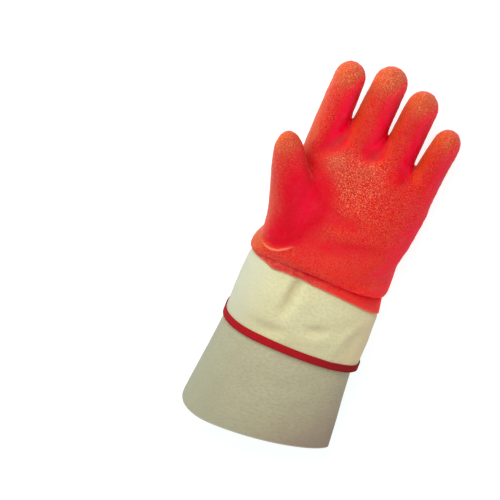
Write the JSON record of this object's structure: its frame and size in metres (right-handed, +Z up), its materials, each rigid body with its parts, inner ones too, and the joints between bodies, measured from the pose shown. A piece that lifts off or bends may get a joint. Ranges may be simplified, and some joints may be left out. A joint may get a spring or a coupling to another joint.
{
  "type": "cold protection glove, left hand, with gauntlet cuff",
  "caption": "Padded, dipped work glove for cold, palm up with curved fingers and a raised thumb, on a short cloth cuff with a taped hem over a long open gauntlet.",
  "frame": {"origin": "on the surface that the glove lies on, under the middle of its box", "axes": "+X towards the little finger's side, +Y from the cuff's mouth towards the fingertips, +Z up out of the palm"},
  "size_m": [0.1488, 0.345, 0.0731],
  "materials": {
    "rough_coating": "matt, crinkled orange-red dipped coating",
    "smooth_coating": "smooth satin orange-red dipped coating",
    "cream_cloth": "matt cream plain-woven cotton",
    "red_tape": "matt dark red folded tape",
    "grey_cloth": "matt grey-green stiffened cotton"
  },
  "bodies": {
    "root": {"hand_shell": "rough_coating", "wrist_band": "smooth_coating", "outer_cuff": "cream_cloth", "cuff_binding": "red_tape", "gauntlet": "grey_cloth"}
  },
  "joints": []
}
